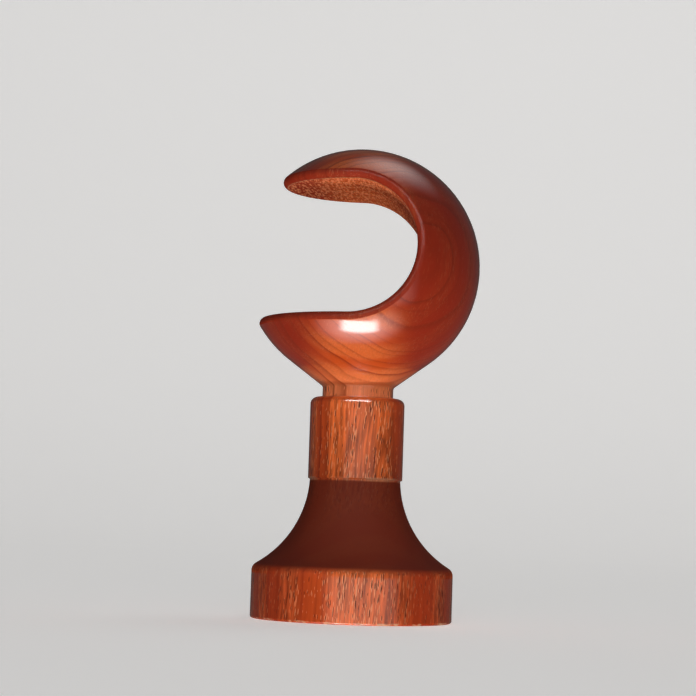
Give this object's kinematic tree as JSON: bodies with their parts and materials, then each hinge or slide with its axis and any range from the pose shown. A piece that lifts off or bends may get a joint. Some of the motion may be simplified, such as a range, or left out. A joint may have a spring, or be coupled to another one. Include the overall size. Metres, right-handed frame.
{
  "type": "curtain pole bracket",
  "caption": "Turned wooden bracket with a round wall base, a cove, a neck and a slotted ball that holds a curtain pole off the wall.",
  "frame": {"origin": "centre of the base's back face, which lies on the wall, at the mouth of the fixing hole", "axes": "+Z along the turning axis, from the wall towards the ball; +Y along the pole; the slot's mouth opens towards -X"},
  "size_m": [0.0495, 0.046, 0.1064],
  "materials": {
    "stained_wood": "mahogany stain under glossy clear lacquer"
  },
  "bodies": {
    "root": {"turned_bracket": "stained_wood"}
  },
  "joints": []
}
